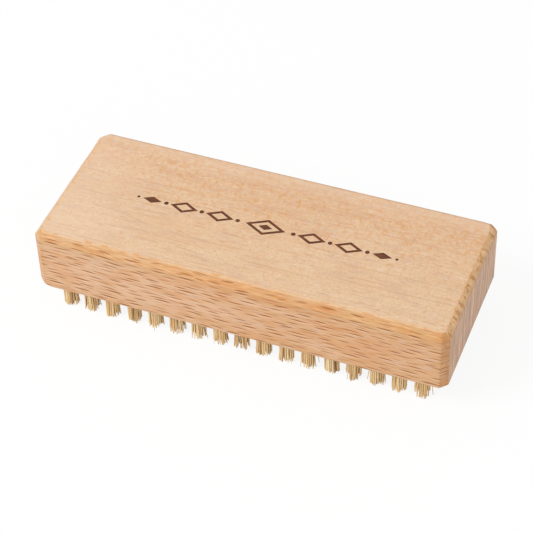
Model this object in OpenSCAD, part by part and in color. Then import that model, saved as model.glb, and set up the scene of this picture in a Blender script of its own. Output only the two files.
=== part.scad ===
// Wooden nail brush: a chamfered beech block, drilled from below, with a fibre tuft
// folded over a flat wire anchor in every hole. Millimetres, +Z up.
// The origin is on the surface that the bristles stand on, under the middle of the block.

/* [Block] */
// Length of the block
block_l = 110; // [100:1:130]
// Width of the block
block_w = 43.7; // [38:0.1:52]
// Thickness of the block
block_h = 18.2; // [15:0.1:24]
// Flat cut back across the four upright corners
corner_cut = 1.9; // [0.5:0.1:3.5]
// Flat cut round the top edge
top_cut = 1.6; // [0.4:0.1:2.5]
// Easing of the edge round the underside
foot_cut = 0.5; // [0.1:0.1:1]

/* [Drilled holes] */
// Tufts in a row along the block
tufts_along = 17; // [9:1:18]
// Rows of tufts across the block
tufts_across = 7; // [3:1:7]
// From the end of the block to the middle of the first hole
end_margin = 7; // [5.5:0.5:10]
// From the side of the block to the middle of the first hole
side_margin = 4; // [3.5:0.5:6]
// Diameter of a hole
hole_d = 4; // [3.4:0.1:4.2]
// Depth of a hole to the shoulder of its drill point
hole_depth = 10; // [8:0.5:11.5]
// Full angle of the drill point
drill_point = 118; // [90:1:140]

/* [Bristles] */
// Free length from the underside of the block to the trimmed tips
bristle_l = 7.6; // [5:0.1:12]
// Locks of fibre that each tuft parts into
locks = 4; // [3:1:4]
// How far the shortest locks end above the trimmed tips
uneven = 1.1; // [0:0.1:1.5]
// How deep the last trim cuts the longest locks off flat
trim = 0.5; // [0.1:0.1:1]
// How far a lock leans out from its tuft by its tip
splay = 0.3; // [0:0.05:0.5]
// Thickness of the slice that the locks of a tuft grow from
slice_t = 1; // [0.5:0.1:2]
// Thickness of the fold of fibre over the anchor
fold_t = 1.4; // [1:0.1:2]

/* [Wire anchors] */
// Thickness of the flat wire
anchor_t = 0.4; // [0.3:0.05:0.6]
// Width of the flat wire, along the hole
anchor_w = 1.6; // [1.2:0.1:2]
// How far each end of an anchor bites into the wood
anchor_bite = 0.2; // [0.1:0.05:0.3]

/* [Fits] */
// Play between a tuft and the wall of its hole
tuft_play = 0.05; // [0.02:0.01:0.1]
// Play round an anchor
anchor_play = 0.03; // [0.01:0.01:0.05]
// Gap between the fold of a tuft and the shoulder of its hole
fold_gap = 0.2; // [0.1:0.05:0.5]

/* [Hidden] */
$fn = 48;
// How far a cutting shape runs past the face that it cuts
overrun = 0.5;
// Width of a lock at its tip, as a share of its width at the root
tip_width_share = 0.74;
// Radius of the slice, as a share of the tuft's radius
slice_share = 0.97;
// Start of the random lengths and turns, so that they come out the same each time
seed = 41;

underside = bristle_l;
block_top = underside + block_h;
// Width of the block from one corner cut to the opposite one
corner_span = (block_l + block_w - 2 * corner_cut) / sqrt(2);
hole_r = hole_d / 2;
drill_point_h = hole_r / tan(drill_point / 2);
pitch_along = (block_l - 2 * end_margin) / (tufts_along - 1);
pitch_across = (block_w - 2 * side_margin) / (tufts_across - 1);
tuft_r = hole_r - tuft_play;
fold_top = underside + hole_depth - fold_gap;
anchor_top = fold_top - fold_t;
anchor_l = hole_d + 2 * anchor_bite;
bundle_l = fold_top - underside;

function two_digits(n) = str(n < 10 ? "0" : "", n);
tuft_nodes = [for (i = [1 : tufts_along]) str("tuft_row_", two_digits(i))];
anchor_nodes = [for (i = [1 : tufts_along]) str("anchor_row_", two_digits(i))];

// Places of the holes

function hole_x(i) = (i - (tufts_along - 1) / 2) * pitch_along;
function hole_y(j) = (j - (tufts_across - 1) / 2) * pitch_across;

module at_holes_of_row(i) {
    for (j = [0 : tufts_across - 1])
        translate([hole_x(i), hole_y(j), 0])
            children();
}

// Block

// Side view of a block of this width: a flat cut at the top, an eased edge below
function block_profile(width) = [
    [-width / 2 + foot_cut, underside],
    [width / 2 - foot_cut, underside],
    [width / 2, underside + foot_cut],
    [width / 2, block_top - top_cut],
    [width / 2 - top_cut, block_top],
    [-width / 2 + top_cut, block_top],
    [-width / 2, block_top - top_cut],
    [-width / 2, underside + foot_cut],
];

// A bar with that side view, whose width runs along this compass angle
module profiled_bar(angle, width) {
    rotate([90, 0, angle])
        linear_extrude(block_l + block_w, center = true)
            polygon(block_profile(width));
}

// The block is what four such bars share, so the cut round its top edge and the easing
// below run over the corner cuts too
module chamfered_block() {
    intersection() {
        profiled_bar(0, block_l);
        profiled_bar(90, block_w);
        profiled_bar(45, corner_span);
        profiled_bar(-45, corner_span);
    }
}

// A blind hole with the cone that the drill's point leaves
module drilled_hole() {
    translate([0, 0, underside])
        rotate_extrude()
            polygon([
                [0, -overrun],
                [hole_r, -overrun],
                [hole_r, hole_depth],
                [0, hole_depth + drill_point_h],
            ]);
}

// A flat piece of wire across a hole, with this much play on every side
module wire_across(play) {
    translate([
        -anchor_l / 2 - play,
        -anchor_t / 2 - play,
        anchor_top - anchor_w - play,
    ])
        cube([anchor_l + 2 * play, anchor_t + 2 * play, anchor_w + 2 * play]);
}

module block() {
    color("#e4bd92")
        difference() {
            chamfered_block();
            for (i = [0 : tufts_along - 1])
                at_holes_of_row(i)
                    drilled_hole();
            for (i = [0 : tufts_along - 1])
                at_holes_of_row(i)
                    wire_across(anchor_play);
        }
}

// Tufts

// Corners of the slice, seen from above: two for each lock
function slice_ring(turn, z) = [
    for (k = [0 : 2 * locks - 1])
        let (a = turn + 180 * k / locks)
            [tuft_r * slice_share * cos(a), tuft_r * slice_share * sin(a), z]
];

// The four corners of lock k at its root: the middle of the tuft and three on the rim
function lock_root(ring, k) = [
    [0, 0, underside],
    ring[2 * k],
    ring[2 * k + 1],
    ring[(2 * k + 2) % (2 * locks)],
];

function middle(points) = [for (axis = [0 : 2]) sum([for (p = points) p[axis]]) / len(points)];
function sum(v, i = 0) = i < len(v) ? v[i] + sum(v, i + 1) : 0;

// The same corners at the tip: drawn in, leaned out and trimmed at this height
function lock_tip(root, lean_angle, z) =
    let (c = middle(root))
        [for (p = root) [
            c[0] + (p[0] - c[0]) * tip_width_share + splay * cos(lean_angle),
            c[1] + (p[1] - c[1]) * tip_width_share + splay * sin(lean_angle),
            z,
        ]];

// Height of a lock's tip: it would end between the trim's depth below the surface
// and the unevenness above it, and is cut off flat at the surface
function tip_height(chance) = max(0, chance * (uneven + trim) - trim);

// Faces between a ring of corners and the ring below it, as triangles
function band(upper, lower) = [
    for (k = [0 : len(upper) - 1])
        let (n = (k + 1) % len(upper))
            each [
                [upper[k], upper[n], lower[n]],
                [upper[k], lower[n], lower[k]],
            ]
];

// A flat cap over a ring of corners, as triangles; the ring runs the way the cap faces
function cap(ring) = [for (k = [1 : len(ring) - 2]) [ring[0], ring[k + 1], ring[k]]];
function reversed(v) = [for (k = [len(v) - 1 : -1 : 0]) v[k]];

// The slice of the bundle and the locks that grow down from it, in one closed form
module slice_with_locks(turn, chances) {
    corners = 2 * locks;
    upper = slice_ring(turn, underside + slice_t);
    lower = slice_ring(turn, underside);
    tips = [
        for (k = [0 : locks - 1])
            each lock_tip(lock_root(lower, k), turn + 180 * (2 * k + 1) / locks, tip_height(chances[k]))
    ];
    middle_index = 2 * corners;
    upper_ring = [for (k = [0 : corners - 1]) k];
    lower_ring = [for (k = [0 : corners - 1]) corners + k];
    polyhedron(
        points = concat(upper, lower, [[0, 0, underside]], tips),
        faces = concat(
            cap(upper_ring),
            band(upper_ring, lower_ring),
            [
                for (k = [0 : locks - 1])
                    let (
                        root = [
                            middle_index,
                            corners + 2 * k,
                            corners + 2 * k + 1,
                            corners + (2 * k + 2) % corners,
                        ],
                        tip = [for (n = [1 : 4]) middle_index + 4 * k + n]
                    )
                        each concat(band(root, tip), cap(reversed(tip)))
            ]
        )
    );
}

// The part of the bundle that fills the hole, folded over its anchor
module folded_bundle() {
    difference() {
        translate([0, 0, underside + slice_t / 2])
            cylinder(h = bundle_l - slice_t / 2, r = tuft_r);
        wire_across(anchor_play);
    }
}

module tuft_row(i) {
    color("#d3b987")
        for (j = [0 : tufts_across - 1]) {
            chances = rands(0, 1, locks + 1, seed + i * tufts_across + j);
            translate([hole_x(i), hole_y(j), 0]) {
                folded_bundle();
                slice_with_locks(360 * chances[locks], chances);
            }
        }
}

// Anchors

module anchor_row(i) {
    color("#b9bcc0")
        at_holes_of_row(i)
            wire_across(0);
}

// Parts

block();
for (i = [0 : tufts_along - 1]) {
    tuft_row(i);
    anchor_row(i);
}
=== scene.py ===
"""Wooden nail brush: the dressed model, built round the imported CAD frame.

A chamfered beech block carries 17 rows of 7 fibre tufts, each folded over a flat wire
anchor in its drilled hole. Lengths in the classes are millimetres, in the CAD's frame:
+X along the block, +Y away from the long side that faces the camera, +Z up from the
bristle tips. Each piece is scaled to metres when its mesh is finished.
"""

from __future__ import annotations

import logging
import math
import random
from dataclasses import dataclass, field
from enum import Enum
from functools import partial
from typing import Iterable, NamedTuple

import bmesh
import bpy
from mathutils import Matrix, Vector, noise

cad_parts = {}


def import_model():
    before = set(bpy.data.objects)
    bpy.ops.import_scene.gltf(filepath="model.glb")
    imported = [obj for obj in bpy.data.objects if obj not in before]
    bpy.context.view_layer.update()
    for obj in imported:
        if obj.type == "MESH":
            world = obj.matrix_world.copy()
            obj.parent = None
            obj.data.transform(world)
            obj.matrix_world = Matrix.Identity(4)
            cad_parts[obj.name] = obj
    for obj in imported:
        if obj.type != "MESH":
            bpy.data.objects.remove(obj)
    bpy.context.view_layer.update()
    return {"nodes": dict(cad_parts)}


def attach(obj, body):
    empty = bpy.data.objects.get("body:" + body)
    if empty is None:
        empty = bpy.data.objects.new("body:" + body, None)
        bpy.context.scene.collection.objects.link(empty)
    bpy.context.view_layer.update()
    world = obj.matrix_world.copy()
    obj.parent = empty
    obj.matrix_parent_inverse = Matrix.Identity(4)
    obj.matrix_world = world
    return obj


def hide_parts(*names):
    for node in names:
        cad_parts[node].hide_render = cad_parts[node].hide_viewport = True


LOG = logging.getLogger("nail_brush")
MM = 0.001
# A shape that cuts another runs this far past the face that it cuts.
OVERRUN = 1.0
# A pattern as long as this doesn't change on its way through the block.
ENDLESS = 400.0

Colour = tuple[float, float, float, float]
Point = tuple[float, float, float]
Tree = bpy.types.NodeTree
Socket = bpy.types.NodeSocket


# Small helpers shared by the classes


def linear(hex_colour: str) -> Colour:
    """Turns an sRGB hex colour to linear light.

    Args:
        hex_colour: a colour such as "#e4bd92".

    Returns:
        Red, green, blue and alpha in linear light.
    """
    channels = [int(hex_colour[i : i + 2], 16) / 255 for i in (1, 3, 5)]
    red, green, blue = (
        c / 12.92 if c <= 0.04045 else ((c + 0.055) / 1.055) ** 2.4 for c in channels
    )
    return red, green, blue, 1.0


def add_node(
    tree: Tree,
    kind: str,
    inputs: dict[int | str, object] | tuple[object, ...] = (),
    out: int | str = 0,
    **settings: object,
) -> Socket | None:
    """Adds a shader node with its settings and links.

    Args:
        tree: the node tree that gets the node.
        kind: the node's Blender type, without the "ShaderNode" at its start.
        inputs: a value, or another node's output, for each input, in order or by name.
        out: the name or number of the output to hand back.
        **settings: properties of the node; "stops" sets a colour ramp's stops.

    Returns:
        That output, whose .node is the new node, or None for a node without outputs.
    """
    node = tree.nodes.new("ShaderNode" + kind)
    stops = settings.pop("stops", ())
    if stops:
        # Of the two stops that a new ramp comes with, one is moved and one goes.
        ramp = node.color_ramp.elements
        ramp.remove(ramp[1])
        ramp[0].position, ramp[0].color = stops[0]
        for position, colour in stops[1:]:
            ramp.new(position).color = colour
    for name, value in settings.items():
        setattr(node, name, value)
    for key, value in inputs.items() if isinstance(inputs, dict) else enumerate(inputs):
        if isinstance(value, Socket):
            tree.links.new(value, node.inputs[key])
        else:
            node.inputs[key].default_value = value
    return node.outputs[out] if node.outputs else None


def patches(
    tree: Tree,
    place: Socket,
    size: Point,
    detail: float,
    out: int = 0,
) -> Socket:
    """Lays out random patches of a real size.

    Args:
        tree: the node tree that gets the pattern.
        place: the position on the piece.
        size: how large a patch is along each axis, in the units of place.
        detail: how many finer layers it has.
        out: 0 for a value and 1 for a colour.

    Returns:
        The pattern's output.
    """
    finer = tuple(1 / length for length in size)
    scaled = add_node(tree, "VectorMath", (place, finer), operation="MULTIPLY")
    return add_node(
        tree, "TexNoise", {"Vector": scaled, "Scale": 1.0, "Detail": detail}, out=out
    )


def finish_surface(
    tree: Tree,
    colour: Socket,
    rough: Socket | float,
    height: Socket,
    strength: float,
    depth: float,
) -> bpy.types.Node:
    """Closes a material's tree with a surface of this colour, roughness and relief.

    Args:
        tree: the material's node tree.
        colour: its colour.
        rough: its roughness.
        height: its relief, from 0 to 1.
        strength: how strongly the relief shows, from 0 to 1.
        depth: the relief's depth in millimetres.

    Returns:
        The surface's node, for a setting that only one finish has.
    """
    bump = add_node(
        tree, "Bump", {"Strength": strength, "Distance": depth * MM, "Height": height}
    )
    surface = add_node(
        tree,
        "BsdfPrincipled",
        {"Base Color": colour, "Roughness": rough, "Normal": bump},
    )
    add_node(tree, "OutputMaterial", {"Surface": surface})
    return surface.node


def new_material(name: str) -> tuple[bpy.types.Material, Tree]:
    """Makes a material with an empty node tree.

    Args:
        name: the real material that it shows.

    Returns:
        The material and its node tree.
    """
    material = bpy.data.materials.new(name)
    material.use_nodes = True
    material.node_tree.nodes.clear()
    return material, material.node_tree


def grey(value: float) -> Colour:
    """A linear grey of this value."""
    return value, value, value, 1.0


def linked_object(name: str, data: bpy.types.ID) -> bpy.types.Object:
    """Puts a mesh, a camera or a light into the scene.

    Args:
        name: the name of its object.
        data: the mesh, the camera or the light.

    Returns:
        The object.
    """
    obj = bpy.data.objects.new(name, data)
    bpy.context.scene.collection.objects.link(obj)
    return obj


def applied_mesh(obj: bpy.types.Object) -> bpy.types.Mesh:
    """Applies an object's modifiers and removes the object.

    Args:
        obj: an object with modifiers.

    Returns:
        The finished mesh.
    """
    bpy.context.view_layer.update()
    graph = bpy.context.evaluated_depsgraph_get()
    mesh = bpy.data.meshes.new_from_object(obj.evaluated_get(graph))
    bpy.data.objects.remove(obj)
    return mesh


def put_in_order(mesh: bpy.types.Mesh) -> None:
    """Lists a mesh's points and faces by place, so that each run makes the same mesh.

    A bevel and plane cuts list them in an order that changes from run to run.

    Args:
        mesh: a mesh whose faces have one material.
    """
    places = [tuple(v.co) for v in mesh.vertices]
    order = sorted(range(len(places)), key=places.__getitem__)
    rank = {old: new for new, old in enumerate(order)}
    faces = []
    for face in mesh.polygons:
        ring = [rank[i] for i in face.vertices]
        first = ring.index(min(ring))
        faces.append(ring[first:] + ring[:first])
    mesh.clear_geometry()
    mesh.from_pydata([places[i] for i in order], [], sorted(faces))


def cut_away(mesh: bpy.types.Mesh, cutters: list[bpy.types.Mesh]) -> bpy.types.Mesh:
    """Cuts shapes out of a mesh, one after the other.

    Args:
        mesh: the closed mesh to cut.
        cutters: closed meshes, none of which crosses itself.

    Returns:
        The cut mesh.
    """
    obj = linked_object("being_cut", mesh)
    tools = []
    for cutter in cutters:
        tools.append(linked_object("cutter", cutter))
        cut = obj.modifiers.new("cut", "BOOLEAN")
        cut.operation = "DIFFERENCE"
        cut.solver = "EXACT"
        cut.object = tools[-1]
    result = applied_mesh(obj)
    for tool in tools:
        bpy.data.objects.remove(tool)
    return result


@dataclass
class Shells:
    """Closed shells that grow into one mesh, with a tone from 0 to 1 on each point."""

    points: list[Point] = field(default_factory=list)
    faces: list[tuple[int, ...]] = field(default_factory=list)
    tones: list[float] = field(default_factory=list)

    def add_stack(self, rings: list[list[Point]], tone: float = 0.5) -> None:
        """Adds a shell through a stack of rings and closes both of its ends.

        Args:
            rings: rings of the same number of points, from the bottom to the top, each
                running anticlockwise as seen from above.
            tone: the tone of all its points.
        """
        start, count = len(self.points), len(rings[0])
        for ring in rings:
            self.points.extend(ring)
        self.tones.extend([tone] * (count * len(rings)))
        for level in range(len(rings) - 1):
            low = start + level * count
            for i in range(count):
                n = (i + 1) % count
                self.faces.append((low + i, low + n, low + count + n, low + count + i))
        last = start + (len(rings) - 1) * count
        self.faces.append(tuple(start + i for i in reversed(range(count))))
        self.faces.append(tuple(last + i for i in range(count)))

    def add_copy(self, mesh: bpy.types.Mesh, shift: Vector, tone: float) -> None:
        """Adds a copy of a closed mesh, moved by shift.

        Args:
            mesh: the mesh to copy.
            shift: how far the copy is moved.
            tone: the tone of all its points.
        """
        start = len(self.points)
        self.points.extend(tuple(v.co + shift) for v in mesh.vertices)
        self.tones.extend([tone] * len(mesh.vertices))
        self.faces.extend(tuple(start + i for i in p.vertices) for p in mesh.polygons)

    def mesh(self, name: str) -> bpy.types.Mesh:
        """Makes the mesh.

        Args:
            name: the mesh's name.

        Returns:
            The mesh, with its tones in the point attribute "tone".
        """
        mesh = bpy.data.meshes.new(name)
        mesh.from_pydata(self.points, [], self.faces)
        tone = mesh.attributes.new("tone", "FLOAT", "POINT")
        tone.data.foreach_set("value", self.tones)
        mesh.validate()
        return mesh


def ring_at(centre: Point, radius: float, sides: int, turn: float = 0.0) -> list[Point]:
    """A level ring of points round a centre.

    Args:
        centre: the ring's middle.
        radius: its radius.
        sides: its number of points.
        turn: the angle of its first point, in radians.

    Returns:
        The points, anticlockwise as seen from above.
    """
    angles = [turn + math.tau * i / sides for i in range(sides)]
    x, y, z = centre
    return [(x + radius * math.cos(a), y + radius * math.sin(a), z) for a in angles]


# Finishes


class Tint(NamedTuple):
    """A tint over the colour below it.

    Attributes:
        value: the pattern that places it.
        start: the pattern's value where the tint starts.
        full: the pattern's value where the tint is full.
        share: how much of the tint shows there, from 0 to 1.
        colour: the tint as an sRGB hex colour.
    """

    value: Socket
    start: float
    full: float
    share: float
    colour: str


@dataclass(frozen=True)
class RayLayer:
    """Wood rays of one size: lens-shaped dashes on the flat-sawn side of beech.

    Lengths are millimetres. A cell holds one ray, and the cells lie like bricks in a
    wall.
    """

    cell_length: float
    cell_height: float
    half_length: float
    half_height: float
    strength: float
    offset: float


@dataclass(frozen=True)
class WoodSpace:
    """Where a point of the block is and how it faces, for the patterns of its wood.

    Attributes:
        tree: the material's node tree.
        place: the point in millimetres.
        grain: the point with the wander of the grain.
        along: its place along the block.
        back: its place across the block.
        up: its height.
        endwards: its distance from the middle of the length.
        side: how far it is on a long side, from 0 to 1, as all that follow.
        end: how far it is on an end.
        oblique: how far it is on a cut or an eased edge.
        end_ward: how far it is turned endwards.
        upward: how far it is turned up or down.
        front_cut: how far it is on a cut along a long side or across a corner.
        end_cut: how far it is on the upper cut at the +X end.
        flat: how far it is on the top, off the cuts.
    """

    tree: Tree
    place: Socket
    grain: Socket
    along: Socket
    back: Socket
    up: Socket
    endwards: Socket
    side: Socket
    end: Socket
    oblique: Socket
    end_ward: Socket
    upward: Socket
    front_cut: Socket
    end_cut: Socket
    flat: Socket


@dataclass(frozen=True)
class BeechFinish:
    """Steamed beech, planed, fine-sanded and lightly oiled.

    To the eye it is a warm tan with a satin surface. The grain runs along X and the
    growth rings lie square to Y, so the three kinds of face differ: the flat-sawn long
    sides show the rays as short dark dashes, the quarter-sawn top shows fine lines
    along the grain with faint flecks across it, and the ends show the rings as upright
    bands. Sanding has burnished the cut edges to amber. Sizes of patterns are
    millimetres along the grain, across it and upright.
    """

    name: str = "steamed_beech_oiled"
    top_pale: str = "#ebcaa5"
    top_light: str = "#f3d8bd"
    top_tan: str = "#e1b78b"
    top_pink: str = "#dfa685"
    top_orange: str = "#dd9c55"
    line_brown: str = "#c08a5c"
    side_pink: str = "#ddb38e"
    side_tan: str = "#d6a475"
    side_orange: str = "#d28e54"
    side_pale: str = "#ebccb1"
    side_grey: str = "#d3b29c"
    end_light: str = "#eec098"
    end_dark: str = "#96715c"
    end_grey: str = "#b7a597"
    end_rose: str = "#dda080"
    amber: str = "#cc9d67"
    end_amber: str = "#ffce98"
    streak_brown: str = "#b3764a"
    ray_orange: str = "#c9884c"
    ray_brown: str = "#98591f"
    ring_brown: str = "#b66f22"
    # The grain wanders by a millimetre or two over the length of the block.
    wander_size: Point = (55, 22, 22)
    wander_reach: Point = (0.0, 2.4, 1.8)
    mottle_size: Point = (18, 7, 2.8)
    streak_size: Point = (7, 0.3, 0.3)
    spot_size: Point = (4.0, 0.5, 0.5)
    # What a pattern gains with each millimetre towards the back, the right or the top.
    # The gains towards the back and the right are painted shade, where the key light
    # from the left front falls off.
    painted_shade_back_gain: float = 0.005
    painted_shade_right_gain: float = 0.004
    rise_gain: float = 0.011
    # The top is paler towards its back, and lighter towards its left end as painted
    # light from the key lamp on the left, from the first place to the second.
    paler_back: tuple[float, float] = (12.0, 20.0)
    painted_light_left: tuple[float, float] = (-20.0, -50.0)
    ring_spacing: float = 2.6
    # The rings are uneven: over patches of this size they drift by so many years.
    ring_drift_size: Point = (60, 6, 40)
    ring_drift: float = 2.6
    # How dark the wood is from one year's early wood to its late wood.
    ring_seasons: tuple[tuple[float, float], ...] = (
        (0.0, 0.1),
        (0.4, 0.2),
        (0.82, 1.0),
        (0.9, 0.9),
        (1.0, 0.1),
    )
    # A ray dips and climbs by up to this much on its way through the wood.
    ray_dip: float = 2.6
    ray_dip_size: Point = (26, 6, ENDLESS)
    # The courses of a layer are shifted against each other by up to this many cells.
    course_shift: float = 9.0
    # What divides a ray's length and its height, from the smallest ray to the largest.
    ray_shorter: tuple[float, float] = (1.6, 1.0)
    ray_thinner: tuple[float, float] = (1.4, 0.9)
    # The least that a ray shows, as a share of its layer's strength.
    ray_least: float = 0.45
    # Where a ray's middle lies in its cell, from the lowest to the highest.
    ray_lift: tuple[float, float] = (0.25, 0.75)
    # Sanding leaves only the hearts of the rays on the oblique cuts.
    ray_wear: float = 1.35
    # A pale streak lies this far below its ray, in half heights of the ray.
    pale_drop: float = 1.5
    layers: tuple[RayLayer, ...] = (
        RayLayer(7.4, 1.15, 3.5, 0.31, 1.0, 0.0),
        RayLayer(5.4, 0.85, 2.5, 0.2, 0.6, 31.7),
    )
    roughness: float = 0.5
    gloss: float = 0.35
    relief: float = 0.08

    def material(self, block: "BlockSizes") -> bpy.types.Material:
        """Builds the beech as a solid texture, so that every face and cut agrees.

        Args:
            block: the block's sizes, which place the burnished edges.

        Returns:
            The material.
        """
        material, tree = new_material(self.name)
        add = partial(add_node, tree)
        at = self._wood_space(tree)
        rings = self._rings(at)
        mottle = patches(tree, at.grain, self.mottle_size, detail=2.0)
        streaks = patches(tree, at.grain, self.streak_size, detail=2.0)
        dark_rays, pale_rays = self._rays(at)
        ground = self._top_colour(at, rings, mottle, block)
        side_colour = self._side_colour(at, mottle, streaks, block)
        end_colour = self._end_colour(at, rings)
        for share, other in ((at.side, side_colour), (at.end, end_colour)):
            mixed = {0: share, 6: ground, 7: other}
            ground = add("Mix", mixed, out=2, data_type="RGBA")
        colour = self._tinted(
            tree,
            ground,
            (
                *self._cut_tints(at, rings, streaks, block),
                *self._corner_tints(at, block),
                *self._ray_tints(at, dark_rays, pale_rays),
                *self._end_cut_tints(at, rings, block),
            ),
        )
        height = add("Math", (dark_rays, -0.8, streaks), operation="MULTIPLY_ADD")
        rough = add(
            "MapRange",
            (streaks, 0.3, 0.7, self.roughness - 0.05, self.roughness + 0.08),
        )
        surface = finish_surface(
            tree, colour, rough, height, strength=0.25, depth=self.relief
        )
        surface.inputs["Specular IOR Level"].default_value = self.gloss
        return material

    def _tinted(
        self, tree: Tree, ground: Colour | Socket, tints: Iterable[Tint]
    ) -> Socket:
        """Lays tints over a ground colour, one after the other.

        Args:
            tree: the material's node tree.
            ground: the colour below.
            tints: the tints, from the lowest to the uppermost.

        Returns:
            The tinted colour.
        """
        for value, start, full, most, tint in tints:
            share = add_node(
                tree,
                "MapRange",
                (value, start, full, 0.0, most),
                interpolation_type="SMOOTHSTEP",
            )
            mixed = {0: share, 6: ground, 7: linear(tint)}
            ground = add_node(tree, "Mix", mixed, out=2, data_type="RGBA")
        return ground

    def _wood_space(self, tree: Tree) -> WoodSpace:
        """Lays out the place, the grain and the way of the face.

        Args:
            tree: the material's node tree.

        Returns:
            The wood's space.
        """
        add = partial(add_node, tree)
        metres = add("TexCoord", out="Object")
        place = add("VectorMath", {0: metres, "Scale": 1 / MM}, operation="SCALE")
        wander = patches(tree, place, self.wander_size, detail=1.0, out=1)
        grain = add(
            "VectorMath", (wander, self.wander_reach, place), operation="MULTIPLY_ADD"
        )
        along, back, up = add("SeparateXYZ", (place,)).node.outputs
        endwards = add("Math", (along,), operation="ABSOLUTE")
        facing = add("TexCoord", out="Normal")
        facing = add("VectorMath", (facing,), operation="ABSOLUTE")
        axes = add("SeparateXYZ", (facing,)).node.outputs
        level = add("Math", (axes["X"], axes["Y"]), operation="MAXIMUM")
        steepest = add("Math", (level, axes["Z"]), operation="MAXIMUM")
        side, end, oblique, end_ward, upward = (
            add(
                "MapRange",
                (value, low, high, 0.0, 1.0),
                interpolation_type="SMOOTHSTEP",
            )
            for value, low, high in (
                (axes["Y"], 0.3, 0.75),
                (axes["X"], 0.6, 0.95),
                (steepest, 0.98, 0.75),
                (axes["X"], 0.3, 0.7),
                (axes["Z"], 0.3, 0.6),
            )
        )
        front_cut = add("Math", (side, oblique), operation="MULTIPLY")
        end_cut = add("Math", (along, 0.0), operation="GREATER_THAN")
        for weight in (end_ward, oblique, upward):
            end_cut = add("Math", (end_cut, weight), operation="MULTIPLY")
        uncut = add("Math", (1.0, oblique), operation="SUBTRACT")
        flat = add("Math", (uncut, upward), operation="MULTIPLY")
        return WoodSpace(
            tree,
            place,
            grain,
            along,
            back,
            up,
            endwards,
            side,
            end,
            oblique,
            end_ward,
            upward,
            front_cut,
            end_cut,
            flat,
        )

    def _top_colour(
        self, at: WoodSpace, rings: Socket, mottle: Socket, block: "BlockSizes"
    ) -> Socket:
        """The quarter-sawn top: fine lines along the grain and faint flecks across it,
        with painted light towards its left end and painted shade towards its back.

        Args:
            at: the wood's space.
            rings: the growth rings.
            mottle: wide patches.
            block: the block's sizes.

        Returns:
            The colour.
        """
        add = partial(add_node, at.tree)
        grained = partial(patches, at.tree, at.grain)
        clouds = grained((1.5, 0.6, 0.6), 3.0, out=1)
        pink_cloud, orange_cloud, _ = add("SeparateColor", (clouds,)).node.outputs
        flecks = grained((1.1, 2.2, 2.2), 2.0)
        # The patches grow towards the back as painted shade, where the key light from
        # the left front falls off.
        mottle, pink_cloud, orange_cloud, flecks = (
            add("Math", (at.back, self.painted_shade_back_gain, pattern), operation="MULTIPLY_ADD")
            for pattern in (mottle, pink_cloud, orange_cloud, flecks)
        )
        at_back = add("MapRange", (at.back, *self.paler_back, 0.0, 1.0))
        at_left = add("MapRange", (at.along, *self.painted_light_left, 0.0, 0.7))
        pale_back_lit_left = add("Math", (at_back, at_left), operation="MAXIMUM")
        rear_rim = block.width / 2 - block.top_cut
        return self._tinted(
            at.tree,
            linear(self.top_pale),
            (
                Tint(grained((2.0, 1.4, 1.4), 2.0), 0.5, 0.3, 0.5, self.top_light),
                Tint(mottle, 0.35, 0.7, 0.35, self.top_tan),
                Tint(grained((7, 2.5, 2.5), 2.0), 0.5, 0.66, 0.35, self.side_grey),
                Tint(rings, 0.2, 1.0, 0.12, self.top_tan),
                Tint(grained((16, 0.5, 0.5), 2.0), 0.45, 0.75, 0.25, self.top_tan),
                Tint(grained((20, 0.5, 0.5), 2.0), 0.57, 0.68, 0.32, self.line_brown),
                Tint(grained((1.2, 0.25, 0.25), 1.0), 0.5, 0.7, 0.5, self.top_tan),
                Tint(grained((3.5, 0.3, 0.3), 1.0), 0.62, 0.76, 0.55, self.line_brown),
                Tint(grained((0.45, 0.9, 0.9), 2.0), 0.45, 0.75, 0.5, self.top_pink),
                Tint(pink_cloud, 0.5, 0.7, 0.4, self.top_pink),
                Tint(orange_cloud, 0.55, 0.72, 0.4, self.top_orange),
                Tint(flecks, 0.6, 0.72, 0.45, self.top_orange),
                # Paler towards the back, and painted light towards the left end.
                Tint(pale_back_lit_left, 0.0, 1.0, 0.4, self.top_light),
                # Painted shade: a dark strip along the back edge, where the eased edge
                # turns away from the light.
                Tint(at.back, rear_rim - 0.7, rear_rim, 0.4, self.line_brown),
            ),
        )

    def _side_colour(
        self, at: WoodSpace, mottle: Socket, streaks: Socket, block: "BlockSizes"
    ) -> Socket:
        """The ground of the flat-sawn sides, below the rays, with painted shade that
        turns it more tan towards the right.

        Args:
            at: the wood's space.
            mottle: wide patches.
            streaks: thin streaks along the grain.
            block: the block's sizes.

        Returns:
            The colour.
        """
        add = partial(add_node, at.tree)
        grained = partial(patches, at.tree, at.grain)
        # Painted shade: the sides turn more tan towards the right, as the key light
        # from the left falls off.
        mottle = add(
            "Math", (at.along, self.painted_shade_right_gain, mottle), operation="MULTIPLY_ADD"
        )
        rise = add("Math", (at.up, block.middle_z), operation="SUBTRACT")
        orange_patch = grained((13, 5, 1.8), 2.0)
        orange_patch = add(
            "Math", (rise, self.rise_gain, orange_patch), operation="MULTIPLY_ADD"
        )
        return self._tinted(
            at.tree,
            linear(self.side_pink),
            (
                Tint(mottle, 0.42, 0.62, 0.7, self.side_tan),
                Tint(grained((5, 3, 1.1), 2.0), 0.5, 0.66, 0.5, self.side_grey),
                Tint(orange_patch, 0.56, 0.72, 0.7, self.side_orange),
                Tint(streaks, 0.5, 0.76, 0.35, self.streak_brown),
                Tint(streaks, 0.45, 0.25, 0.4, self.side_pale),
            ),
        )

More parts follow.
